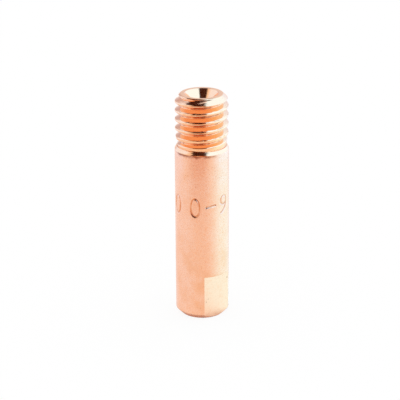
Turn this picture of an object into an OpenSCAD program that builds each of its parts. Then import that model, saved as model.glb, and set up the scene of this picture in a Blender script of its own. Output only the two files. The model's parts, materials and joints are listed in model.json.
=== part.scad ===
// Welding contact tip: one piece of copper, turned, threaded, drilled and flatted.
// It stands on its nose. The origin is the centre of the nose face, and +Z runs
// up the axis to the threaded end. The wrench flats face -Y and +Y.

/* [Body] */
// Overall length, from the nose face to the threaded end face
overall_length = 25.4; // [22:0.1:45]
// Diameter of the round body
body_d = 5.9; // [5.9:0.1:8]
// Size of the 45 degree chamfer round the nose
nose_chamfer = 0.6; // [0.2:0.05:1]

/* [Thread] */
// Nominal diameter of the thread
thread_d = 6; // [5.6:0.1:6]
// Distance between neighbouring crests
thread_pitch = 1; // [0.75:0.05:1]
// How far below its nominal diameter the thread is cut
thread_allowance = 0.2; // [0.1:0.01:0.3]
// Length from the shoulder to the threaded end face
thread_length = 5.8; // [4:0.1:10]
// Size of the 45 degree chamfer that leads the thread in
lead_chamfer = 0.58; // [0.3:0.01:0.7]
// Direction in which a crest meets the end face, in degrees
thread_start = 61; // [1:6:355]

/* [Shoulder] */
// Size of the 45 degree chamfer on the shoulder
shoulder_chamfer = 0.2; // [0.1:0.01:0.3]
// Depth of the run-out notch below the crests
runout_depth = 0.25; // [0.15:0.01:0.4]
// Slope of the run-out notch to the axis, in degrees
runout_slope = 10; // [8:1:45]

/* [Wire passage] */
// Diameter of the bore that guides the wire
wire_bore_d = 1.1; // [0.8:0.05:1.8]
// Diameter of the countersink that leads the wire in
entry_d = 3.7; // [2.4:0.1:4]
// Included angle of the countersink, in degrees
entry_angle = 60; // [50:1:90]

/* [Wrench flats] */
// Distance across the two flats
across_flats = 4.9; // [4.4:0.1:5.6]
// Length of the flats, from the nose face
flat_length = 5.1; // [3:0.1:10]

/* [Hidden] */
$fn = 96;

copper = [0.96, 0.70, 0.54];

// Flat sides to one turn of the thread
thread_sides = 60;
// Half angle of the thread's vee, in degrees
flank_angle = 30;
// Depth of a full thread and width of its crest, as shares of the pitch
full_depth_share = 0.6134;
full_crest_share = 1 / 8;
// How far a cutting shape runs past the face that it cuts
overcut = 1;
// How far the blank of the threaded end stands outside the crests
blank_margin = 0.2;

body_r = body_d / 2;
shoulder_z = overall_length - thread_length;
crest_r = (thread_d - thread_allowance) / 2;
root_r = thread_d / 2 - full_depth_share * thread_pitch;
// The allowance cuts the crests down, so they are lower and wider than those of a full thread
thread_depth = crest_r - root_r;
crest_share = full_crest_share + thread_allowance * tan(flank_angle) / thread_pitch;
neck_r = crest_r - runout_depth;
runout_rise = runout_depth / tan(runout_slope);
wire_bore_r = wire_bore_d / 2;
entry_r = entry_d / 2;
entry_depth = (entry_r - wire_bore_r) / tan(entry_angle / 2);

// One pitch of the thread's outline from a crest upwards, as [height in pitches, radius]
flank_rise = thread_depth * tan(flank_angle) / thread_pitch;
thread_outline = [
    [-crest_share / 2, crest_r],
    [crest_share / 2, crest_r],
    [crest_share / 2 + flank_rise, root_r],
    [1 - crest_share / 2 - flank_rise, root_r]
];
steps = len(thread_outline);

// The helix starts a whole number of turns below the end face, inside the body
turns_below = ceil((thread_length + overcut) / thread_pitch) + 1;
turns_above = ceil(overcut / thread_pitch);
helix_z = overall_length - turns_below * thread_pitch;
rows = steps * (turns_below + turns_above);

// A point of the thread: row counts outline points upwards, side counts round the turn
function thread_point(row, side) =
    let (corner = thread_outline[row % steps],
         turn = floor(row / steps) + side / thread_sides,
         angle = 360 * side / thread_sides)
    [corner[1] * cos(angle), corner[1] * sin(angle), helix_z + (turn + corner[0]) * thread_pitch];

// Its index: the end of a row is the start of the row one pitch higher
function thread_index(row, side) =
    side == thread_sides ? thread_index(row + steps, 0)
    : row < rows ? row * thread_sides + side
    : rows * thread_sides + row - rows;

// A threaded rod, closed at both ends by a fan from a point on the axis
module threaded_rod() {
    low_tip = rows * thread_sides + steps;
    high_tip = low_tip + 1;
    low_rim = [
        for (side = [0:thread_sides]) thread_index(0, side),
        for (row = [steps - 1:-1:1]) thread_index(row, 0)
    ];
    high_rim = [
        for (side = [0:thread_sides]) thread_index(rows - 1, side),
        for (row = [rows + steps - 2:-1:rows]) thread_index(row, 0)
    ];
    points = [
        for (row = [0:rows - 1], side = [0:thread_sides - 1]) thread_point(row, side),
        for (row = [rows:rows + steps - 1]) thread_point(row, 0),
        [0, 0, helix_z],
        [0, 0, helix_z + rows / steps * thread_pitch]
    ];
    faces = [
        for (row = [0:rows - 2], side = [0:thread_sides - 1])
            [thread_index(row, side), thread_index(row + 1, side), thread_index(row + 1, side + 1)],
        for (row = [0:rows - 2], side = [0:thread_sides - 1])
            [thread_index(row, side), thread_index(row + 1, side + 1), thread_index(row, side + 1)],
        for (i = [0:len(low_rim) - 1]) [low_tip, low_rim[i], low_rim[(i + 1) % len(low_rim)]],
        for (i = [0:len(high_rim) - 1]) [high_tip, high_rim[(i + 1) % len(high_rim)], high_rim[i]]
    ];
    polyhedron(points, faces);
}

// What the lathe leaves of the threaded end: a neck at the shoulder and a lead-in chamfer
module thread_blank() {
    rotate_extrude()
        polygon([
            [0, shoulder_z - overcut],
            [neck_r, shoulder_z - overcut],
            [neck_r, shoulder_z],
            [crest_r + blank_margin, shoulder_z + runout_rise * (1 + blank_margin / runout_depth)],
            [crest_r + blank_margin, overall_length - lead_chamfer - blank_margin],
            [crest_r - lead_chamfer, overall_length],
            [0, overall_length]
        ]);
}

// The round body with its nose and shoulder chamfers
module body_blank() {
    rotate_extrude()
        polygon([
            [0, 0],
            [body_r - nose_chamfer, 0],
            [body_r, nose_chamfer],
            [body_r, shoulder_z - shoulder_chamfer],
            [body_r - shoulder_chamfer, shoulder_z],
            [0, shoulder_z]
        ]);
}

// The bore right through, with the countersink that leads the wire in
module wire_passage() {
    translate([0, 0, -overcut])
        cylinder(r = wire_bore_r, h = overall_length + 2 * overcut);
    translate([0, 0, overall_length - entry_depth])
        cylinder(r1 = wire_bore_r, r2 = entry_r + overcut * tan(entry_angle / 2), h = entry_depth + overcut);
}

// What the cutter takes off beside both flats
module flat_cuts() {
    for (side = [-1, 1])
        translate([-body_r - overcut, side > 0 ? across_flats / 2 : -body_r - overcut, -overcut])
            cube([body_d + 2 * overcut, body_r + overcut - across_flats / 2, flat_length + overcut]);
}

module contact_tip() {
    color(copper)
        difference() {
            union() {
                body_blank();
                intersection() {
                    rotate([0, 0, thread_start]) threaded_rod();
                    thread_blank();
                }
            }
            wire_passage();
            flat_cuts();
        }
}

contact_tip();
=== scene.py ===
import json
import math

import bpy
import numpy as np
from bpy.props import FloatProperty, FloatVectorProperty, PointerProperty
from bpy.types import Operator, Panel, PropertyGroup
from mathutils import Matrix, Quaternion, Vector, noise


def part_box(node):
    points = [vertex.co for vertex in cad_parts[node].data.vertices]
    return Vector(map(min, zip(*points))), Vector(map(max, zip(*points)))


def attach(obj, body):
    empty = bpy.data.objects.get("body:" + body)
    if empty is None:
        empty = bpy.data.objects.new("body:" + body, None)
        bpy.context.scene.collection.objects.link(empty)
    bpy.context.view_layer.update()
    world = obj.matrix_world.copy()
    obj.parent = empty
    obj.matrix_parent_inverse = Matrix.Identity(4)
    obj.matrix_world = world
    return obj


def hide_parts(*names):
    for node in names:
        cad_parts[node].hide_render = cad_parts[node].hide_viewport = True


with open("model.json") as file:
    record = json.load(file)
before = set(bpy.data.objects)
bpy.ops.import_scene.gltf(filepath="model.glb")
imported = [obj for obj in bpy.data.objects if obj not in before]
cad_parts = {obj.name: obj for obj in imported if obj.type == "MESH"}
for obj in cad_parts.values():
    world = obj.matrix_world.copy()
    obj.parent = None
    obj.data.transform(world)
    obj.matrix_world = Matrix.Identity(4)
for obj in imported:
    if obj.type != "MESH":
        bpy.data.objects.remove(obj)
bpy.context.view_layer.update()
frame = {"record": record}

bl_info = {
    "name": "Welding contact tip",
    "version": (1, 0, 0),
    "blender": (4, 5, 0),
    "location": "3D View > Sidebar > Contact tip",
    "description": "Builds a turned copper contact tip and a small studio to show it in",
    "category": "Add Mesh",
}

MM = 0.001
TURN = 2 * math.pi
NODE = "contact_tip"
mounts = {mount["name"]: mount for mount in frame["record"]["mounts"]}
tip_low, tip_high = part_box(NODE)


def length(name, description, millimetres):
    """A size that the sidebar shows in the scene's units."""
    return FloatProperty(
        name=name, description=description, default=millimetres * MM, min=0.0,
        unit="LENGTH", precision=5,
    )


def angle(name, description, degrees):
    """An angle that the sidebar shows in degrees."""
    return FloatProperty(
        name=name, description=description, default=math.radians(degrees),
        unit="ROTATION", subtype="ANGLE",
    )


def colour(name, description, value):
    """A colour with a swatch in the sidebar."""
    return FloatVectorProperty(
        name=name, description=description, default=value, size=3, min=0.0, max=1.0,
        subtype="COLOR",
    )


def share(name, description, value, most=1.0):
    """A plain number with a slider."""
    return FloatProperty(
        name=name, description=description, default=value, min=0.0, max=most, subtype="FACTOR",
    )


class TipSizes(PropertyGroup):
    """Sizes of the tip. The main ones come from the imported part."""

    overall_length: length(
        "Overall length", "Nose face to threaded end face", (tip_high[2] - tip_low[2]) / MM
    )
    body_diameter: length(
        "Body diameter", "Outside of the round body", (tip_high[0] - tip_low[0]) / MM
    )
    nose_chamfer: length("Nose chamfer", "Chamfer round the nose", 0.6)
    across_flats: length(
        "Across flats", "Distance across the wrench flats",
        -2 * mounts["flat_front"]["pos_m"][1] / MM,
    )
    flat_length: length("Flat length", "Length of the flats from the nose face", 5.1)
    shoulder_chamfer: length("Shoulder chamfer", "Chamfer on the shoulder, across the axis", 0.2)
    shoulder_drop: length("Shoulder drop", "The same chamfer along the axis", 0.31)
    shoulder_round: length("Shoulder rounding", "Reach of the rounding under that chamfer", 0.08)
    thread_length: length(
        "Thread length", "Shoulder to end face", mounts["threaded_end"]["dims"]["length_mm"]
    )
    crest_radius: length(
        "Crest radius", "Axis to the thread's crests", mounts["threaded_end"]["dims"]["r_mm"]
    )
    crest_width: length("Crest width", "Flat part of a crest", 0.24)
    crest_round: length("Crest rounding", "How far the edges of a crest are rounded", 0.14)
    root_radius: length("Root radius", "Axis to the bottom of the thread", 2.31)
    thread_pitch: length("Thread pitch", "Crest to crest", 1.0)
    thread_start: angle("Thread start", "Direction in which a crest meets the end face", 86.0)
    lead_chamfer: length("Lead-in chamfer", "Chamfer at the threaded end", 0.58)
    runout_depth: length(
        "Run-out depth", "Depth below the crests at which the thread runs out", 0.25
    )
    runout_slope: angle("Run-out slope", "Slope of the run-out to the axis", 10.0)
    bore_radius: length(
        "Bore radius", "Radius of the wire bore", mounts["wire_bore"]["dims"]["r_mm"]
    )
    entry_radius: length("Entry radius", "Radius of the countersink's mouth", 1.85)
    entry_half_angle: angle("Entry half angle", "Half of the countersink's angle", 30.0)
    edge_round: length("Edge rounding", "How far the thread's ends are rounded", 0.05)


class TipStamp(PropertyGroup):
    """The number that is stamped into the body."""

    height: length("Height on body", "Nose face to the middle of the number", 13.37)
    depth: length("Depth", "Depth of the strokes", 0.085)
    stroke: length("Stroke", "Half the width of a stroke", 0.165)
    start: angle("Direction", "Direction that the number's middle faces", 250.6)


class TipFinish(PropertyGroup):
    """Colours and polish of the copper."""

    satin: colour("Satin copper", "Copper of the tumbled body", (0.99, 0.55, 0.355))
    shade: colour("Satin shade", "Darker grain of the body", (0.975, 0.465, 0.265))
    nose_patch: colour("Nose copper", "Warmer patches near the nose", (0.935, 0.45, 0.235))
    blush: colour("Satin blush", "Paler, pinker clouds of the body", (1.0, 0.59, 0.41))
    bright: colour("Bright copper", "Copper of the cut faces", (0.985, 0.52, 0.275))
    flat: colour("Flat copper", "Copper of the milled flats", (0.99, 0.60, 0.40))
    deep: colour("Deep copper", "Copper in the sunk strokes of the number", (0.78, 0.27, 0.10))
    # Colour of the specks and stains, and also of the painted shade under the shoulder and along
    # the thread's crest edges and root
    stain_and_shade: colour("Stain", "Specks and stains", (0.34, 0.085, 0.035))
    # Side of the painted shade under the shoulder, which faces towards the camera
    painted_shade_side: angle("Painted shade side", "Direction of the body's stained side", 214.0)
    satin_rough: share("Satin roughness", "Roughness of the tumbled body", 0.27)
    flat_rough: share("Flat roughness", "Roughness of the milled flats", 0.2)
    bright_rough: share("Bright roughness", "Roughness of the cut faces", 0.13)


class TipStudio(PropertyGroup):
    """The camera and the light."""

    camera_azimuth: angle("Camera azimuth", "Direction of the camera round the tip", -38.0)
    camera_elevation: angle("Camera elevation", "Height of the camera above the horizon", 20.81)
    camera_roll: angle("Camera roll", "Turn of the camera about its line of sight", -0.261)
    camera_distance: length("Camera distance", "Camera to the point that it looks at", 176.38)
    camera_lens: FloatProperty(
        name="Lens", description="Focal length in millimetres", default=144.575, min=1.0
    )
    aim_height: length("Aim height", "Height of the point that the camera looks at", 13.146)
    aim_side: FloatProperty(
        name="Aim side", description="Sideways shift of that point", default=-0.222 * MM,
        unit="LENGTH", precision=5,
    )
    floor_colour: colour("Floor", "Colour of the floor", (0.95, 0.95, 0.95))
    room: share("Room", "Brightness of the white room", 1.06, 4.0)


# Finishes of the skin
SATIN, MILLED, BRIGHT = range(3)

# Columns round the tip, and the extra ones beside each edge of a flat, in degrees
COLUMNS = 168
EDGE_COLUMNS = (-1.1, -0.6, -0.3, -0.1, 0.1, 0.3, 0.6, 1.1)
EDGE_CLEAR = 0.35

# The smaller lengths below are in millimetres.
# Nose: roundings of the chamfer's two edges, lip of the bore, rings across the chamfer
NOSE_ROUND = 0.06
BODY_ROUND = 0.08
BORE_LIP = 0.05
NOSE_SPACING = 0.035
# Share of the nose chamfer, from below, that stays satin where the flats cut it
SATIN_NOSE = 0.3

# Flats: rounding along them, least depth that counts as cut, and the step at their end
# as (share of the step, height above the flats' length)
FLAT_ROUND = 0.03
LEAST_CUT = 0.01
STEP_CLEAR = 0.012
FLAT_STEP = (
    (0.02, -0.004), (0.5, 0.0), (0.93, 0.003), (0.98, 0.012), (1.0, 0.035), (1.0, 0.08),
)

# Plain rings of the body, below and above the number
LOW_RING = 7.5
HIGH_RING = 16.5

# The number's finer net: how far it reaches, its cells, and the coarser columns round the back
BAND_REACH = 1.4
BAND_EDGE = 1.6
BAND_LEFT = 4.95
BAND_RIGHT = 2.65
BAND_CELL = 0.036
BAND_COLUMNS = 84
BAND_CLEAR = 0.03

# Shoulder: rings under its chamfer, and the rounding and ledge above it
SHOULDER_SUPPORT = 0.12
COLLAR_START = 0.01
COLLAR_ROUND = 0.03
COLLAR_LEDGE = 0.05

# Thread: half angle, rounding of the root, and the rows of one turn in pitches above a crest
FLANK_ANGLE = math.radians(30.0)
ROOT_ROUND = 0.04
THREAD_ROWS = (
    0.0, 0.05, 0.085, 0.102, 0.115, 0.128, 0.142, 0.16, 0.2, 0.26, 0.32, 0.38, 0.42, 0.445,
    0.465, 0.485, 0.515, 0.535, 0.555, 0.58, 0.62, 0.68, 0.74, 0.8, 0.84, 0.858, 0.872, 0.885,
    0.898, 0.915, 0.95,
)
SPARE_TURNS = 3
# Knocks: how close together, how rare, how deep, and how far below the crests they reach
NICK_SCALE = 2.6
NICK_LEVEL = 0.28
NICK_DEPTH = 0.09
NICK_REACH = 0.14
NICK_FADE = 0.12

# End face: rounding of its rim, and rings across the rounding
END_ROUND = 0.09
END_STEPS = 7

# Wire passage: ledge round the mouth, roundings, and distances between rings
ENTRY_LEDGE = 0.12
ENTRY_ROUND = 0.03
ENTRY_SPACING = 0.2
BORE_ROUND = 0.1
BORE_SPACING = 3.0


def soft_min(a, b, width):
    """The lower of two radii, with the corner where they meet rounded over width."""
    part = np.clip(0.5 + 0.5 * (b - a) / width, 0.0, 1.0)
    return b + (a - b) * part - width * part * (1.0 - part)


def soft_max(a, b, width):
    """The higher of two radii, rounded in the same way."""
    return -soft_min(-a, -b, width)


def rounded_path(corners, steps=4, support=0.03):
    """Points (radius, height) along straight runs, with each inner corner rounded.

    A corner is (radius, height, rounding, spacing). Spacing, if it isn't 0, divides the run
    after it.
    """
    points = []
    spot = [np.array(corner[:2], float) for corner in corners]
    last = len(corners) - 1
    leave = spot[0]
    points.append(leave)
    for k in range(1, last + 1):
        run = spot[k] - spot[k - 1]
        run = run / np.linalg.norm(run)
        rounding = corners[k][2] if k < last else 0.0
        arrive = spot[k] - run * rounding
        spacing = corners[k - 1][3]
        gap = np.linalg.norm(arrive - leave)
        inner = [support, gap - support] if gap > 3 * support else []
        if spacing:
            count = max(1, round(gap / spacing))
            inner += [gap * n / count for n in range(1, count)]
        for way in sorted(set(inner)):
            points.append(leave + run * way)
        points.append(arrive)
        if k < last:
            onward = spot[k + 1] - spot[k]
            onward = onward / np.linalg.norm(onward)
            leave = spot[k] + onward * rounding
            for n in range(1, steps + 1):
                t = n / steps
                points.append((1 - t) ** 2 * arrive + 2 * t * (1 - t) * spot[k] + t * t * leave)
    return points


class Skin:
    """Points and faces of one closed skin, added ring by ring, in millimetres."""

    def __init__(self):
        self.points = []
        self.faces = []
        self.finishes = []
        self.size = 0

    def add(self, angles, radius, height):
        """Adds a ring and gives its point numbers."""
        radius = np.broadcast_to(radius, angles.shape)
        height = np.broadcast_to(height, angles.shape)
        ring = np.stack([radius * np.cos(angles), radius * np.sin(angles), height], 1)
        self.points.append(ring)
        first, self.size = self.size, self.size + len(angles)
        return np.arange(first, self.size)

    def face(self, corners, finish):
        """Adds a face, leaving out corners that repeat."""
        kept = [corner for k, corner in enumerate(corners) if corner != corners[k - 1]]
        if len(set(kept)) > 2:
            self.faces.append(kept)
            self.finishes.append(finish)

    def join(self, low, high, finish):
        """Quads between two rings of one count. Finish can be a list, one for each column."""
        finishes = np.broadcast_to(finish, len(low))
        for k in range(len(low)):
            m = (k + 1) % len(low)
            corners = [int(low[k]), int(low[m]), int(high[m]), int(high[k])]
            self.face(corners, int(finishes[k]))

    def stitch(self, low, low_angles, high, high_angles, finish):
        """Triangles between two rings of different counts that start at one angle."""
        a = np.append(low_angles, TURN)
        b = np.append(high_angles, TURN)
        i = j = 0
        while i < len(low) or j < len(high):
            here, there = low[i % len(low)], high[j % len(high)]
            if j == len(high) or (i < len(low) and a[i + 1] <= b[j + 1]):
                i += 1
                third = low[i % len(low)]
            else:
                j += 1
                third = high[j % len(high)]
            self.face([int(here), int(third), int(there)], finish)

    def to_mesh(self, name, materials):
        """Makes the mesh, in metres, from the points that faces use."""
        points = np.concatenate(self.points) * MM
        used = np.unique(np.concatenate(self.faces))
        number = np.zeros(len(points), int)
        number[used] = np.arange(len(used))
        mesh = bpy.data.meshes.new(name)
        faces = [number[face].tolist() for face in self.faces]
        mesh.from_pydata(points[used].tolist(), [], faces)
        for material in materials:
            mesh.materials.append(material)
        mesh.polygons.foreach_set("material_index", self.finishes)
        mesh.polygons.foreach_set("use_smooth", [True] * len(mesh.polygons))
        mesh.update()
        if mesh.validate():
            raise RuntimeError("the tip's skin has broken faces")
        return mesh


def column_angles(flat_edge):
    """Directions round the tip, closer together at the edges of the flats."""
    even = np.arange(COLUMNS) * TURN / COLUMNS
    edges = (flat_edge, math.pi - flat_edge, math.pi + flat_edge, TURN - flat_edge)
    crowd = np.concatenate([edge + np.radians(EDGE_COLUMNS) for edge in edges])
    keep = [a for a in even if np.abs(crowd - a).min() > math.radians(EDGE_CLEAR)]
    return np.sort(np.concatenate([keep, crowd]))


def arc(centre_s, centre_z, radius_s, radius_z, first, last, steps):
    """Points of a stroke along part of an ellipse, angles in degrees."""
    turn = np.radians(np.linspace(first, last, steps + 1))
    return np.stack([centre_s + radius_s * np.cos(turn), centre_z + radius_z * np.sin(turn)], 1)


def number_strokes():
    """The stamped number as strokes of (millimetres round the body, millimetres up)."""
    apart, further = 1.73, 2.45
    left_zero = arc(-apart - further, -0.07, 0.49, 1.02, 0, 360, 30)
    zero = arc(-apart, -0.07, 0.49, 1.02, 0, 360, 30)
    mark = np.array([(-0.5, 0.11), (-0.55, -0.03), (0.53, 0.13)])
    nine_bowl = arc(apart, 0.53, 0.47, 0.5, 0, 360, 22)
    nine_tail = arc(apart - 1.0, 0.5, 1.47, 1.55, 0, -66, 12)
    return [left_zero, zero, mark, nine_bowl, nine_tail]


def stroke_gap(s, z, strokes):
    """Distance of each point from the nearest stroke."""
    gap = np.full(s.shape, np.inf)
    for stroke in strokes:
        for start, end in zip(stroke[:-1], stroke[1:]):
            run = end - start
            from_s, from_z = s - start[0], z - start[1]
            along = np.clip((from_s * run[0] + from_z * run[1]) / (run @ run), 0.0, 1.0)
            gap = np.minimum(gap, np.hypot(from_s - along * run[0], from_z - along * run[1]))
    return gap


def stamped_band(skin, sizes, stamp, low, low_angles):
    """The part of the body with the number in it, in a finer net, joined to the ring below it."""
    radius = sizes.body_diameter / 2
    first, last = stamp.start - BAND_LEFT / radius, stamp.start + BAND_RIGHT / radius
    fine = np.linspace(first, last, round((BAND_LEFT + BAND_RIGHT) / BAND_CELL) + 1)
    coarse = np.arange(BAND_COLUMNS) * TURN / BAND_COLUMNS
    coarse = [a for a in coarse if a < first - BAND_CLEAR or a > last + BAND_CLEAR]
    angles = np.sort(np.concatenate([coarse, fine]))
    rows = round(2 * BAND_REACH / BAND_CELL) + 1
    heights = np.linspace(stamp.height - BAND_REACH, stamp.height + BAND_REACH, rows)
    s, z = np.meshgrid((angles - stamp.start) * radius, heights - stamp.height)
    gap = stroke_gap(s, z, number_strokes())
    # The stamp bit deeper in some places than in others
    blow = 0.72 + 0.28 * np.sin(2.3 * z + 1.2 * s + 0.6)
    sunk = np.clip(1.0 - gap / stamp.stroke, 0.0, 1.0)
    sunk = sunk * sunk * (3 - 2 * sunk)
    radii = radius - stamp.depth * blow * sunk
    previous = None
    for row, height in enumerate(heights):
        ring = skin.add(angles, radii[row], height)
        if previous is None:
            skin.stitch(low, low_angles, ring, angles, SATIN)
        else:
            skin.join(previous, ring, SATIN)
        previous = ring
    return previous, angles


def thread_radius(sizes, turn):
    """Radius of the thread at turn pitches above a crest."""
    away = np.abs(turn - np.round(turn)) * sizes.thread_pitch
    flank = sizes.crest_radius - (away - sizes.crest_width / 2) / math.tan(FLANK_ANGLE)
    ridge = soft_min(sizes.crest_radius, flank, sizes.crest_round)
    return soft_max(ridge, sizes.root_radius, ROOT_ROUND)


def blank_radius(sizes, z):
    """Radius that the lathe left at the threaded end, before the thread was cut."""
    rise = z - (sizes.overall_length - sizes.thread_length)
    notch = sizes.crest_radius - sizes.runout_depth + rise * math.tan(sizes.runout_slope)
    lead = sizes.crest_radius - sizes.lead_chamfer + sizes.overall_length - z
    return np.minimum(notch, lead)


def nicks(points):
    """Small knocks on the crests, as depths."""
    depth = [max(0.0, noise.noise(Vector(point) * NICK_SCALE) - NICK_LEVEL) for point in points]
    return np.array(depth) * NICK_DEPTH


def threaded_rows(skin, sizes, low, angles, finish):
    """The thread, in rows that follow the helix and stop at both ends.

    Gives its last ring, that ring's radii and its height.
    """
    pitch = sizes.thread_pitch
    bottom = sizes.overall_length - sizes.thread_length
    top = sizes.overall_length - END_ROUND
    per_turn = len(THREAD_ROWS)
    # The lowest row lies below the shoulder all the way round
    turns = math.ceil(sizes.thread_length / pitch) + SPARE_TURNS
    crest = sizes.overall_length - (turns - 1.0 + sizes.thread_start / TURN) * pitch
    while crest + pitch > bottom:
        crest -= pitch
        turns += 1
    climb = crest + angles / TURN * pitch
    count = turns * per_turn + 1
    rows = [k // per_turn + THREAD_ROWS[k % per_turn] for k in range(count)]
    raw = climb[None, :] + np.array(rows)[:, None] * pitch
    z = np.clip(raw, bottom, top)
    turn = (z - climb[None, :]) / pitch
    radius = soft_min(thread_radius(sizes, turn), blank_radius(sizes, z), sizes.edge_round)
    spots = np.stack([radius * np.cos(angles), radius * np.sin(angles), z], 2).reshape(-1, 3)
    near_crest = np.clip((radius - sizes.crest_radius + NICK_REACH) / NICK_FADE, 0.0, 1.0)
    inside = (raw > bottom) & (raw < top)
    radius = radius - near_crest * inside * nicks(spots).reshape(radius.shape)

    # Rows that run past an end share the ring at that end
    first = skin.add(angles, radius[0], bottom)
    last = skin.add(angles, radius[-1], top)
    number = []
    for k in range(count):
        ring = skin.add(angles, radius[k], z[k])
        ring = np.where(raw[k] <= bottom, first, np.where(raw[k] >= top, last, ring))
        number.append(ring.tolist())
    skin.join(low, first, finish)
    # The end of a row is the start of the row one turn higher
    for k in range(count - 1):
        here, above = list(number[k]), list(number[k + 1])
        if k + per_turn + 1 < count:
            here.append(number[k + per_turn][0])
            above.append(number[k + per_turn + 1][0])
        for c in range(len(here) - 1):
            skin.face([here[c], here[c + 1], above[c + 1], above[c]], finish)
    return last, radius[-1], top


class Millimetres:
    """The numbers of a property group, with lengths in millimetres and angles as they are."""

    def __init__(self, group):
        for name, item in group.bl_rna.properties.items():
            if item.type == "FLOAT" and not item.is_array:
                value = getattr(group, name)
                setattr(self, name, value / MM if item.unit == "LENGTH" else value)


def tip_skin(sizes, stamp):
    """The whole tip as one closed skin, from the nose up the outside and back down the bore."""
    skin = Skin()
    radius = sizes.body_diameter / 2
    half_flats = sizes.across_flats / 2
    angles = column_angles(math.asin(half_flats / radius))
    # Distance from the axis to the flats in each direction, kept finite along them
    flat = half_flats / np.maximum(np.abs(np.sin(angles)), 1e-3)
    top = sizes.overall_length
    shoulder = top - sizes.thread_length

    def climb(path, previous, finish, cut=None):
        """Adds a ring for each point of a path, each joined to the one before."""
        for r, z in path:
            ring = skin.add(angles, r if cut is None else soft_min(r, cut, FLAT_ROUND), z)
            skin.join(previous, ring, finish)
            previous = ring
        return previous

    # Nose and flats
    nose = rounded_path([
        (sizes.bore_radius + BORE_LIP, 0.0, 0, 0),
        (radius - sizes.nose_chamfer, 0.0, NOSE_ROUND, NOSE_SPACING),
        (radius, sizes.nose_chamfer, BODY_ROUND, 0),
        (radius, sizes.flat_length - STEP_CLEAR, 0, 0),
    ])
    first = skin.add(angles, *nose[0])
    is_cut = flat < radius - LEAST_CUT
    milled = np.where(is_cut & np.roll(is_cut, -1), MILLED, SATIN)
    cutter_low = SATIN_NOSE * sizes.nose_chamfer
    ring = climb([point for point in nose[1:] if point[1] < cutter_low], first, SATIN, flat)
    ring = climb([point for point in nose[1:] if point[1] >= cutter_low], ring, milled, flat)
    step = radius - soft_min(radius, flat, FLAT_ROUND)
    for part, rise in FLAT_STEP:
        above = skin.add(angles, radius - step * (1 - part), sizes.flat_length + rise)
        skin.join(ring, above, SATIN)
        ring = above

    # Body, with the number
    ring = climb([(radius, LOW_RING), (radius, stamp.height - BAND_EDGE)], ring, SATIN)
    ring, band_angles = stamped_band(skin, sizes, stamp, ring, angles)
    above = skin.add(angles, radius, stamp.height + BAND_EDGE)
    skin.stitch(ring, band_angles, above, angles, SATIN)

    # Shoulder and thread
    edge_z = shoulder - sizes.shoulder_drop
    body_end = edge_z - sizes.shoulder_round
    heights = (HIGH_RING, body_end - SHOULDER_SUPPORT, body_end)
    ring = climb([(radius, height) for height in heights], above, SATIN)
    collar = rounded_path([
        (radius, body_end - COLLAR_START, 0, 0),
        (radius, edge_z, sizes.shoulder_round, 0),
        (radius - sizes.shoulder_chamfer, shoulder, COLLAR_ROUND, 0),
        (radius - sizes.shoulder_chamfer - COLLAR_LEDGE, shoulder, 0, 0),
    ], steps=6, support=0.02)
    ring = climb(collar[2:], ring, BRIGHT)
    ring, rim, height = threaded_rows(skin, sizes, ring, angles, BRIGHT)

    # Rim of the end face, turning over from the thread into the flat ring
    for n in range(1, END_STEPS + 1):
        t = n / END_STEPS
        inward = END_ROUND * (2 * t - 0.2 * t * t)
        above = skin.add(angles, rim - inward, height + END_ROUND * (2 * t - t * t))
        skin.join(ring, above, BRIGHT)
        ring = above

    # Wire passage, down to the nose
    entry_depth = (sizes.entry_radius - sizes.bore_radius) / math.tan(sizes.entry_half_angle)
    passage = rounded_path([
        (sizes.entry_radius + ENTRY_LEDGE, top, 0, 0),
        (sizes.entry_radius, top, ENTRY_ROUND, ENTRY_SPACING),
        (sizes.bore_radius, top - entry_depth, BORE_ROUND, BORE_SPACING),
        (sizes.bore_radius, 0.0, BORE_LIP, 0),
        (sizes.bore_radius + 2 * BORE_LIP, 0.0, 0, 0),
    ])
    ring = climb(passage[:-2], ring, BRIGHT)
    skin.join(ring, first, BRIGHT)
    return skin


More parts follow.
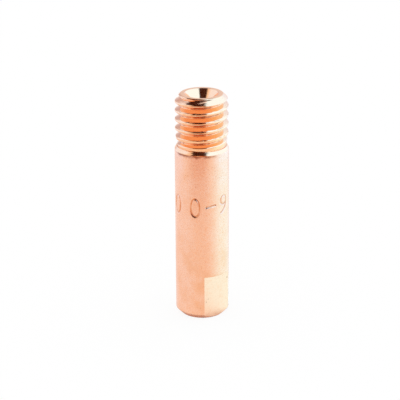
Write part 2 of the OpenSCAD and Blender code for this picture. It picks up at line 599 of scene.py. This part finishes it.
class Nodes:
    """Adds nodes to a material or the world, and links them."""

    def __init__(self, tree):
        self.tree = tree
        tree.nodes.clear()

    def put(self, socket, value):
        """Links a socket to an output, or sets its value."""
        if isinstance(value, bpy.types.NodeSocket):
            self.tree.links.new(value, socket)
        else:
            socket.default_value = value

    def add(self, kind, settings=None, **inputs):
        """Adds a node. An input has its socket's name, with _ for a space, or i and its number."""
        node = self.tree.nodes.new(kind)
        for name, value in (settings or {}).items():
            setattr(node, name, value)
        for name, value in inputs.items():
            numbered = name[0] == "i" and name[1:].isdigit()
            self.put(node.inputs[int(name[1:]) if numbered else name.replace("_", " ")], value)
        return node

    def math(self, operation, a, b=0.0):
        return self.add("ShaderNodeMath", {"operation": operation}, i0=a, i1=b).outputs[0]

    def plus(self, a, b):
        return self.math("ADD", a, b)

    def minus(self, a, b):
        return self.math("SUBTRACT", a, b)

    def times(self, a, b):
        return self.math("MULTIPLY", a, b)

    def most(self, a, b):
        return self.math("MAXIMUM", a, b)

    def vector(self, operation, output, **inputs):
        return self.add("ShaderNodeVectorMath", {"operation": operation}, **inputs).outputs[output]

    def ramp(self, value, low, high):
        """0 at low and 1 at high, with a smooth start and end."""
        node = self.add(
            "ShaderNodeMapRange", {"interpolation_type": "SMOOTHSTEP"},
            Value=value, From_Min=low, From_Max=high,
        )
        return node.outputs["Result"]

    def window(self, value, low, high, soft):
        """1 between low and high, fading to 0 over soft on either side."""
        rise = self.ramp(value, low - soft, low + soft)
        return self.times(rise, self.ramp(value, high + soft, high - soft))

    def mix(self, part, a, b):
        """Colour a, or colour b where part is 1."""
        node = self.add("ShaderNodeMix", {"data_type": "RGBA"}, Factor=part, i6=a, i7=b)
        return node.outputs[2]

    def noise(self, place, scale, detail=3.0, roughness=0.55):
        """Noise in space, at scale features to a millimetre."""
        return self.add(
            "ShaderNodeTexNoise", {"noise_dimensions": "3D"},
            Vector=place, Scale=scale, Detail=detail, Roughness=roughness,
        ).outputs[0]

    def lines(self, along, scale, detail=3.0, roughness=0.6):
        """Noise along one number, for marks of a tool."""
        return self.add(
            "ShaderNodeTexNoise", {"noise_dimensions": "1D"},
            W=along, Scale=scale, Detail=detail, Roughness=roughness,
        ).outputs[0]

    def vary(self, noise, middle, spread):
        """Noise brought to a spread about a middle value."""
        return self.plus(self.times(noise, spread), middle - spread / 2)

    def cells(self, place, scale):
        """Scattered points, with the distance from the nearest one."""
        settings = {"voronoi_dimensions": "3D"}
        return self.add("ShaderNodeTexVoronoi", settings, Vector=place, Scale=scale).outputs

    def place(self):
        """The object's own coordinates, in millimetres."""
        where = self.add("ShaderNodeTexCoord").outputs["Object"]
        return self.vector("SCALE", 0, Vector=where, Scale=1 / MM)

    def split(self, place):
        return self.add("ShaderNodeSeparateXYZ", None, Vector=place).outputs

    def from_axis(self, split):
        """Distance from the tip's axis."""
        square = self.plus(self.times(split[0], split[0]), self.times(split[1], split[1]))
        return self.math("SQRT", square)

    def bump(self, height, strength, millimetres, **below):
        """A bumped normal, on top of another one if Normal is given."""
        return self.add(
            "ShaderNodeBump", None,
            Strength=strength, Distance=millimetres * MM, Height=height, **below,
        ).outputs[0]


def rgba(value, strength=1.0):
    """A colour for a socket."""
    return tuple(strength * part for part in value) + (1.0,)


def new_material(name):
    """A material and the means to add its nodes."""
    material = bpy.data.materials.new(name)
    material.use_nodes = True
    return material, Nodes(material.node_tree)


def finish_metal(material, make, tone, rough, normal, dirt_and_shade=None):
    """Copper in a tone, which grime and painted shade cover by the share given, making it less
    metallic.
    """
    shader = make.add(
        "ShaderNodeBsdfPrincipled", None,
        Base_Color=tone, Roughness=rough, Normal=normal, Metallic=1.0, Specular_IOR_Level=0.0,
    )
    if dirt_and_shade is not None:
        make.put(shader.inputs["Metallic"], make.minus(1.0, dirt_and_shade))
    make.add("ShaderNodeOutputMaterial", None, Surface=shader.outputs[0])
    return material


# The most that each kind of mark covers the copper below it
NOSE_PATCH_SHARE = 0.68
GRAIN_SHARE = 0.85
FLAT_GRAIN_SHARE = 0.45
SPECK_SHARE = 0.4
PEPPER_SHARE = 0.3
SHOULDER_SHADE_SHARE = 0.85
PIT_SHARE = 0.6
LINE_SHARE = 0.75
# Heights over which the darker, warmer patches thicken to the nose and fine specks to the shoulder,
# in millimetres, and by how much
NEAR_NOSE = (10.0, 5.0)
NOSE_GAIN = 0.16
NEAR_SHOULDER = (12.0, 19.0)
SHOULDER_GAIN = 0.12
# Size of the larger specks, in cells
SPECK_SIZE = 0.13
# The number: depths at which deeper copper sets in and is full, and half its height
STROKE_DEPTH = (0.005, 0.035)
STROKE_REACH = 1.5
# Painted shade under the shoulder, on the side towards the camera: where it sets in and is full,
# from the body's end and from the axis
SHOULDER_SHADE_HEIGHT = (-0.75, 0.1)
SHOULDER_SHADE_GAIN = 0.5
SHOULDER_SHADE_REACH = (1.7, 2.5)
# How softly marks end along the axis, and how far above the shoulder the thread's ones start
SOFT_END = 0.1
RUNOUT_CLEAR = 0.3
# Dark lines and streaks of the thread, in pitches from a crest and in millimetres from the axis.
# The dark lines along the crest edges and in the root are partly grime and partly painted shade.
DARK_LINE = 0.025
DARK_LINE_SOFT = 0.02
DARK_IN_ROOT = (0.455, 0.49)
DARK_LINE_REACH = (2.2, 2.26)
STREAK_ON_CREST = (0.26, 0.16)
STREAK_REACH = (1.95, 2.2)
STREAK_SCALE = (0.6, 0.6, 5.0)


def satin_copper(finish, sizes, stamp):
    """Tumbled copper: soft clouds, warmer patches near the nose, sandy grain and specks.

    The number's strokes are of deeper copper, and under the shoulder, on the side towards the
    camera, there is painted shade in the colour of the stains.
    """
    material, make = new_material("satin_copper")
    place = make.place()
    split = make.split(place)
    height = split[2]
    body_radius = sizes.body_diameter / 2
    shoulder = sizes.overall_length - sizes.thread_length
    body_end = shoulder - sizes.shoulder_drop - sizes.shoulder_round

    # Clouds, patches and grain
    cloud = make.noise(place, scale=0.6, detail=4.0, roughness=0.6)
    tone = make.mix(make.ramp(cloud, 0.36, 0.66), rgba(finish.satin), rgba(finish.blush))
    # Darker, warmer patches that thicken towards the nose
    patch = make.noise(place, scale=0.45, detail=4.0, roughness=0.6)
    patch = make.plus(patch, make.times(make.ramp(height, *NEAR_NOSE), NOSE_GAIN))
    nose_patch = make.times(make.ramp(patch, 0.54, 0.8), NOSE_PATCH_SHARE)
    tone = make.mix(nose_patch, tone, rgba(finish.nose_patch))
    grain = make.noise(place, scale=6.5, detail=3.0, roughness=0.6)
    dark_grain = make.times(make.ramp(grain, 0.44, 0.7), GRAIN_SHARE)
    tone = make.mix(dark_grain, tone, rgba(finish.shade))

    # Strokes of the number
    blot = make.noise(place, scale=1.8, detail=5.0, roughness=0.75)
    stroke_top, stroke_bottom = (body_radius - depth for depth in STROKE_DEPTH)
    sunk = make.ramp(make.from_axis(split), stroke_top, stroke_bottom)
    low, high = stamp.height - STROKE_REACH, stamp.height + STROKE_REACH
    sunk = make.times(sunk, make.window(height, low, high, SOFT_END))
    tone = make.mix(make.times(sunk, make.ramp(blot, 0.2, 0.65)), tone, rgba(finish.deep))

    # A few specks of their own sizes, and finer ones that thicken up the body
    spot = make.cells(place, scale=0.85)
    size = make.times(make.noise(spot["Position"], scale=3.0, detail=0.0), SPECK_SIZE)
    speck = make.ramp(spot["Distance"], make.minus(size, 0.025), make.minus(size, 0.06))
    pepper = make.ramp(make.cells(place, scale=3.2)["Distance"], 0.24, 0.12)
    crowd = make.noise(place, scale=0.9, detail=2.0)
    crowd = make.plus(crowd, make.times(make.ramp(height, *NEAR_SHOULDER), SHOULDER_GAIN))
    pepper = make.times(pepper, make.ramp(crowd, 0.42, 0.7))
    speck = make.most(make.times(speck, SPECK_SHARE), make.times(pepper, PEPPER_SHARE))

    # Painted shade under the shoulder, on the side towards the camera, in the colour of the stains
    # and joined with the specks
    start, full = (body_end + rise for rise in SHOULDER_SHADE_HEIGHT)
    patchy = make.plus(blot, make.times(make.ramp(height, start, full), SHOULDER_SHADE_GAIN))
    side = (math.cos(finish.painted_shade_side), math.sin(finish.painted_shade_side), 0.0)
    facing = make.ramp(make.vector("DOT_PRODUCT", "Value", i0=place, i1=side), *SHOULDER_SHADE_REACH)
    patchy = make.times(make.ramp(patchy, 0.72, 0.98), facing)
    specks_and_shade = make.most(speck, make.times(patchy, SHOULDER_SHADE_SHARE))
    tone = make.mix(specks_and_shade, tone, rgba(finish.stain_and_shade))

    rough = make.vary(make.noise(place, scale=2.4), finish.satin_rough, 0.12)
    dimples = make.noise(place, scale=1.9, detail=2.0)
    normal = make.bump(grain, strength=0.35, millimetres=0.005)
    normal = make.bump(dimples, strength=0.4, millimetres=0.02, Normal=normal)
    return finish_metal(material, make, tone, rough, normal)


def milled_copper(finish):
    """The wrench flats: paler and smoother than the body, with faint cutter marks."""
    material, make = new_material("milled_copper")
    place = make.place()
    grain = make.noise(place, scale=3.0, detail=4.0, roughness=0.65)
    shade = make.times(make.ramp(grain, 0.46, 0.75), FLAT_GRAIN_SHARE)
    tone = make.mix(shade, rgba(finish.flat), rgba(finish.shade))
    speck = make.ramp(make.cells(place, scale=0.8)["Distance"], 0.13, 0.05)
    tone = make.mix(make.times(speck, SPECK_SHARE), tone, rgba(finish.stain_and_shade))
    rough = make.vary(grain, finish.flat_rough, 0.06)
    marks = make.lines(make.split(place)[2], scale=7.0)
    normal = make.bump(marks, strength=0.2, millimetres=0.004)
    return finish_metal(material, make, tone, rough, normal)


def bright_copper(finish, sizes):
    """Freshly cut copper: clean colour, fine tool marks round the axis, streaks on the crests,
    and broken dark lines along the edges of the crests and in the root of the thread, partly
    grime and partly painted shade."""
    material, make = new_material("bright_copper")
    place = make.place()
    split = make.split(place)
    reach = make.from_axis(split)
    patchy = make.noise(place, scale=1.3)

    # Distance from the nearest crest, in pitches
    round_axis = make.math("DIVIDE", make.math("ARCTAN2", split[1], split[0]), TURN)
    turn = make.minus(make.math("DIVIDE", split[2], sizes.thread_pitch), round_axis)
    crest = sizes.overall_length / sizes.thread_pitch - sizes.thread_start / TURN
    turn = make.math("FRACT", make.minus(turn, crest % 1.0 - 0.5))
    away = make.math("ABSOLUTE", make.minus(turn, 0.5))
    thread_low = sizes.overall_length - sizes.thread_length + RUNOUT_CLEAR
    thread_high = sizes.overall_length - sizes.lead_chamfer
    threaded = make.window(split[2], thread_low, thread_high, SOFT_END)

    # Broken dark lines along the crest edges and in the root, partly grime and partly painted
    # shade, and grime in pits
    rim = sizes.crest_width / sizes.thread_pitch / 2
    lines = make.window(away, rim, rim + DARK_LINE, DARK_LINE_SOFT)
    lines = make.most(lines, make.ramp(away, *DARK_IN_ROOT))
    lines = make.times(make.times(lines, threaded), make.ramp(patchy, 0.45, 0.62))
    lines = make.times(lines, make.ramp(reach, *DARK_LINE_REACH))
    pits = make.ramp(make.noise(place, scale=5.0, detail=3.0, roughness=0.6), 0.66, 0.78)
    # Share of grime and painted shade, which also makes the copper less metallic
    dirt_and_shade = make.most(make.times(pits, PIT_SHARE), make.times(lines, LINE_SHARE))
    tone = make.mix(dirt_and_shade, rgba(finish.bright), rgba(finish.stain_and_shade))

    # Streaks, on the crests and on the faces above and below the thread
    flattened = make.vector("MULTIPLY", 0, i0=place, i1=STREAK_SCALE)
    streak = make.minus(make.noise(flattened, scale=1.0, detail=2.0), 0.5)
    where = make.most(make.ramp(away, *STREAK_ON_CREST), make.minus(1.0, threaded))
    streak = make.times(streak, make.times(where, make.ramp(reach, *STREAK_REACH)))

    rough = make.vary(patchy, finish.bright_rough, 0.08)
    marks = make.lines(make.plus(split[2], make.times(reach, 1.7)), scale=14.0)
    normal = make.bump(marks, strength=0.2, millimetres=0.006)
    normal = make.bump(streak, strength=1.0, millimetres=0.04, Normal=normal)
    return finish_metal(material, make, tone, rough, normal, dirt_and_shade)


class CONTACTTIP_OT_tip(Operator):
    """Builds the copper tip in one skin, with its nose, flats, number, shoulder, thread and bore"""

    bl_idname = "contact_tip.build_tip"
    bl_label = "Build tip"

    def execute(self, context):
        scene = context.scene
        finish = scene.contact_tip_finish
        sizes = Millimetres(scene.contact_tip_sizes)
        stamp = Millimetres(scene.contact_tip_stamp)
        skin = tip_skin(sizes, stamp)
        satin = satin_copper(finish, sizes, stamp)
        finishes = [satin, milled_copper(finish), bright_copper(finish, sizes)]
        tip = bpy.data.objects.new("turned_tip", skin.to_mesh("turned_tip", finishes))
        scene.collection.objects.link(tip)
        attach(tip, "root")
        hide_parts(NODE)
        return {"FINISHED"}


# Tones of the tent that the tip mirrors
DARK = (0.05, 0.015, 0.01)
WARM = (0.76, 0.3, 0.13)
DIM = (0.66, 0.64, 0.8)
BACK = (0.85, 0.92, 1.05)
PLAIN = (1.02, 1.0, 0.98)
COOL = (1.0, 1.03, 1.09)
HIGH = (1.0, 1.2, 1.6)
SOFT = (1.0, 1.4, 2.1)
GLOW = (1.04, 1.55, 1.8)
FULL = (1.04, 1.85, 3.0)
WHITE = (1.0, 1.0, 1.0)
# Its walls and its floor, near and far, as (degrees to the right of the camera, tone)
WALLS = (
    (-180, BACK), (-155, DIM), (-130, SOFT), (-80, SOFT), (-54, PLAIN), (-44, DARK),
    (17, DARK), (24, FULL), (125, FULL), (180, BACK),
)
NEAR_FLOOR = (
    (-180, PLAIN), (-125, COOL), (-60, COOL), (-20, PLAIN), (15, PLAIN), (90, GLOW),
    (125, GLOW), (165, PLAIN),
)
FAR_FLOOR = (
    (-180, PLAIN), (-155, PLAIN), (-130, SOFT), (-100, SOFT), (-72, PLAIN), (-25, WARM),
    (3, WARM), (35, PLAIN), (95, FULL), (115, FULL), (175, PLAIN),
)
# Degrees above the horizon over which the dark roof and the pale crown above it set in
ROOF = (46.0, 54.0)
CROWN = (78.0, 84.0)
# Bearings between which there is no roof, and how softly it ends there
ROOF_GAP = (34.0, 140.0, 10.0)
# Millimetres from the tip over which the near floor turns into the far one
FAR_FROM = (54.0, 65.0)
# Millimetres from the axis over which the mirrored floor comes out of the tip's own shade
SHADE_END = (2.6, 4.5)
# How far the floor is lifted to white for the camera, which leaves it a faint shadow
FLOOR_LIFT = 0.9
# Half of the floor's side, in metres
FLOOR_HALF = 1.5


def bearing(make, where, turn):
    """Degrees to the right of the camera at which a point or direction lies, from the tip."""
    right = (math.cos(turn), math.sin(turn), 0.0)
    front = (math.sin(turn), -math.cos(turn), 0.0)
    sides = [make.vector("DOT_PRODUCT", "Value", i0=where, i1=way) for way in (right, front)]
    return make.times(make.math("ARCTAN2", *sides), 180 / math.pi)


def ring(make, azimuth, stops):
    """A colour for each direction round the tip."""
    turn = make.add(
        "ShaderNodeMapRange", None, Value=azimuth, From_Min=-180.0, From_Max=180.0
    ).outputs["Result"]
    node = make.add("ShaderNodeValToRGB", None, Fac=turn)
    band = node.color_ramp
    band.interpolation = "EASE"
    while len(band.elements) < len(stops):
        band.elements.new(0.5)
    for element, (degrees, tone) in zip(band.elements, stops):
        element.position = (degrees + 180) / 360
    for element, (degrees, tone) in zip(band.elements, stops):
        element.color = rgba(tone)
    return node.outputs["Color"]


def tent_world(studio):
    """A white room. The tip mirrors it as a tent: bright on the right, softer on the left,
    open at the camera and dark above."""
    world = bpy.data.worlds.new("light_tent")
    world.use_nodes = True
    make = Nodes(world.node_tree)
    look = make.add("ShaderNodeTexCoord").outputs["Generated"]
    azimuth = bearing(make, look, studio.camera_azimuth)
    rise = make.times(make.math("ARCSINE", make.split(look)[2]), 180 / math.pi)
    tone = ring(make, azimuth, WALLS)
    roofed = make.minus(1.0, make.window(azimuth, *ROOF_GAP))
    tone = make.mix(make.times(roofed, make.ramp(rise, *ROOF)), tone, rgba(DARK))
    tone = make.mix(make.ramp(rise, *CROWN), tone, rgba(HIGH))
    mirrored = make.add("ShaderNodeLightPath").outputs["Is Glossy Ray"]
    tone = make.mix(mirrored, rgba(WHITE, studio.room), tone)
    sky = make.add("ShaderNodeBackground", None, Color=tone, Strength=1.0)
    make.add("ShaderNodeOutputWorld", None, Surface=sky.outputs[0])
    return world


def floor_white(group, studio):
    """A white floor. The tip mirrors it brighter on the right, and warm and dim far in front."""
    material, make = new_material("floor_white")
    place = make.place()
    azimuth = bearing(make, place, studio.camera_azimuth)
    away = make.vector("LENGTH", "Value", i0=place)
    near, far = ring(make, azimuth, NEAR_FLOOR), ring(make, azimuth, FAR_FLOOR)
    tone = make.mix(make.ramp(away, *FAR_FROM), near, far)
    ray = make.add("ShaderNodeLightPath").outputs
    mirrored = make.most(ray["Is Glossy Ray"], ray["Is Transmission Ray"])
    tone = make.mix(mirrored, rgba(WHITE), tone)
    glow = make.add("ShaderNodeEmission", None, Color=tone, Strength=1.0)
    cloth = make.add("ShaderNodeBsdfDiffuse", None, Color=rgba(group.floor_colour))
    clear = make.times(mirrored, make.ramp(away, *SHADE_END))
    lift = make.plus(make.times(ray["Is Camera Ray"], FLOOR_LIFT), clear)
    mixed = make.add("ShaderNodeMixShader", None, i0=lift, i1=cloth.outputs[0], i2=glow.outputs[0])
    make.add("ShaderNodeOutputMaterial", None, Surface=mixed.outputs[0])
    return material


class CONTACTTIP_OT_studio(Operator):
    """Builds the floor, the soft light and the camera"""

    bl_idname = "contact_tip.build_studio"
    bl_label = "Build studio"

    def execute(self, context):
        scene = context.scene
        group = scene.contact_tip_studio
        studio = Millimetres(group)

        mesh = bpy.data.meshes.new("floor")
        left, right = -FLOOR_HALF, FLOOR_HALF
        corners = [(left, left, 0), (right, left, 0), (right, right, 0), (left, right, 0)]
        mesh.from_pydata(corners, [], [(0, 1, 2, 3)])
        floor = bpy.data.objects.new("floor", mesh)
        scene.collection.objects.link(floor)
        mesh.materials.append(floor_white(group, studio))

        scene.world = tent_world(studio)

        data = bpy.data.cameras.new("camera")
        data.sensor_width = 36.0
        data.lens = studio.camera_lens
        data.clip_start, data.clip_end = 0.005, 20.0
        camera = bpy.data.objects.new("camera", data)
        scene.collection.objects.link(camera)
        turn, rise = studio.camera_azimuth, studio.camera_elevation
        level = math.cos(rise)
        back = Vector((math.sin(turn) * level, -math.cos(turn) * level, math.sin(rise)))
        aside = Vector((math.cos(turn), math.sin(turn), 0.0)) * studio.aim_side
        aim = Vector((0, 0, studio.aim_height)) + aside
        camera.location = (aim + back * studio.camera_distance) * MM
        camera.rotation_mode = "QUATERNION"
        roll = Quaternion((0, 0, 1), studio.camera_roll)
        camera.rotation_quaternion = (-back).to_track_quat("-Z", "Y") @ roll
        scene.camera = camera
        scene.view_settings.view_transform = "Standard"
        return {"FINISHED"}


class CONTACTTIP_PT_panel(Panel):
    """Sizes, number, finish and studio of the tip"""

    bl_idname = "CONTACTTIP_PT_panel"
    bl_label = "Contact tip"
    bl_space_type = "VIEW_3D"
    bl_region_type = "UI"
    bl_category = "Contact tip"

    def draw(self, context):
        layout = self.layout
        for title, name in GROUPS:
            box = layout.box()
            box.label(text=title)
            group = getattr(context.scene, name)
            for prop in group.bl_rna.properties.keys():
                if prop not in {"rna_type", "name"}:
                    box.prop(group, prop)
        layout.operator(CONTACTTIP_OT_tip.bl_idname)
        layout.operator(CONTACTTIP_OT_studio.bl_idname)


GROUPS = (
    ("Sizes", "contact_tip_sizes"),
    ("Stamp", "contact_tip_stamp"),
    ("Finish", "contact_tip_finish"),
    ("Studio", "contact_tip_studio"),
)
GROUP_TYPES = (TipSizes, TipStamp, TipFinish, TipStudio)
CLASSES = GROUP_TYPES + (CONTACTTIP_OT_tip, CONTACTTIP_OT_studio, CONTACTTIP_PT_panel)


def register():
    for cls in CLASSES:
        bpy.utils.register_class(cls)
    for (title, name), kind in zip(GROUPS, GROUP_TYPES):
        setattr(bpy.types.Scene, name, PointerProperty(name=title, type=kind))


def unregister():
    for title, name in GROUPS:
        delattr(bpy.types.Scene, name)
    for cls in reversed(CLASSES):
        bpy.utils.unregister_class(cls)


def main():
    register()
    bpy.ops.contact_tip.build_tip()
    bpy.ops.contact_tip.build_studio()


if __name__ == "__main__":
    main()
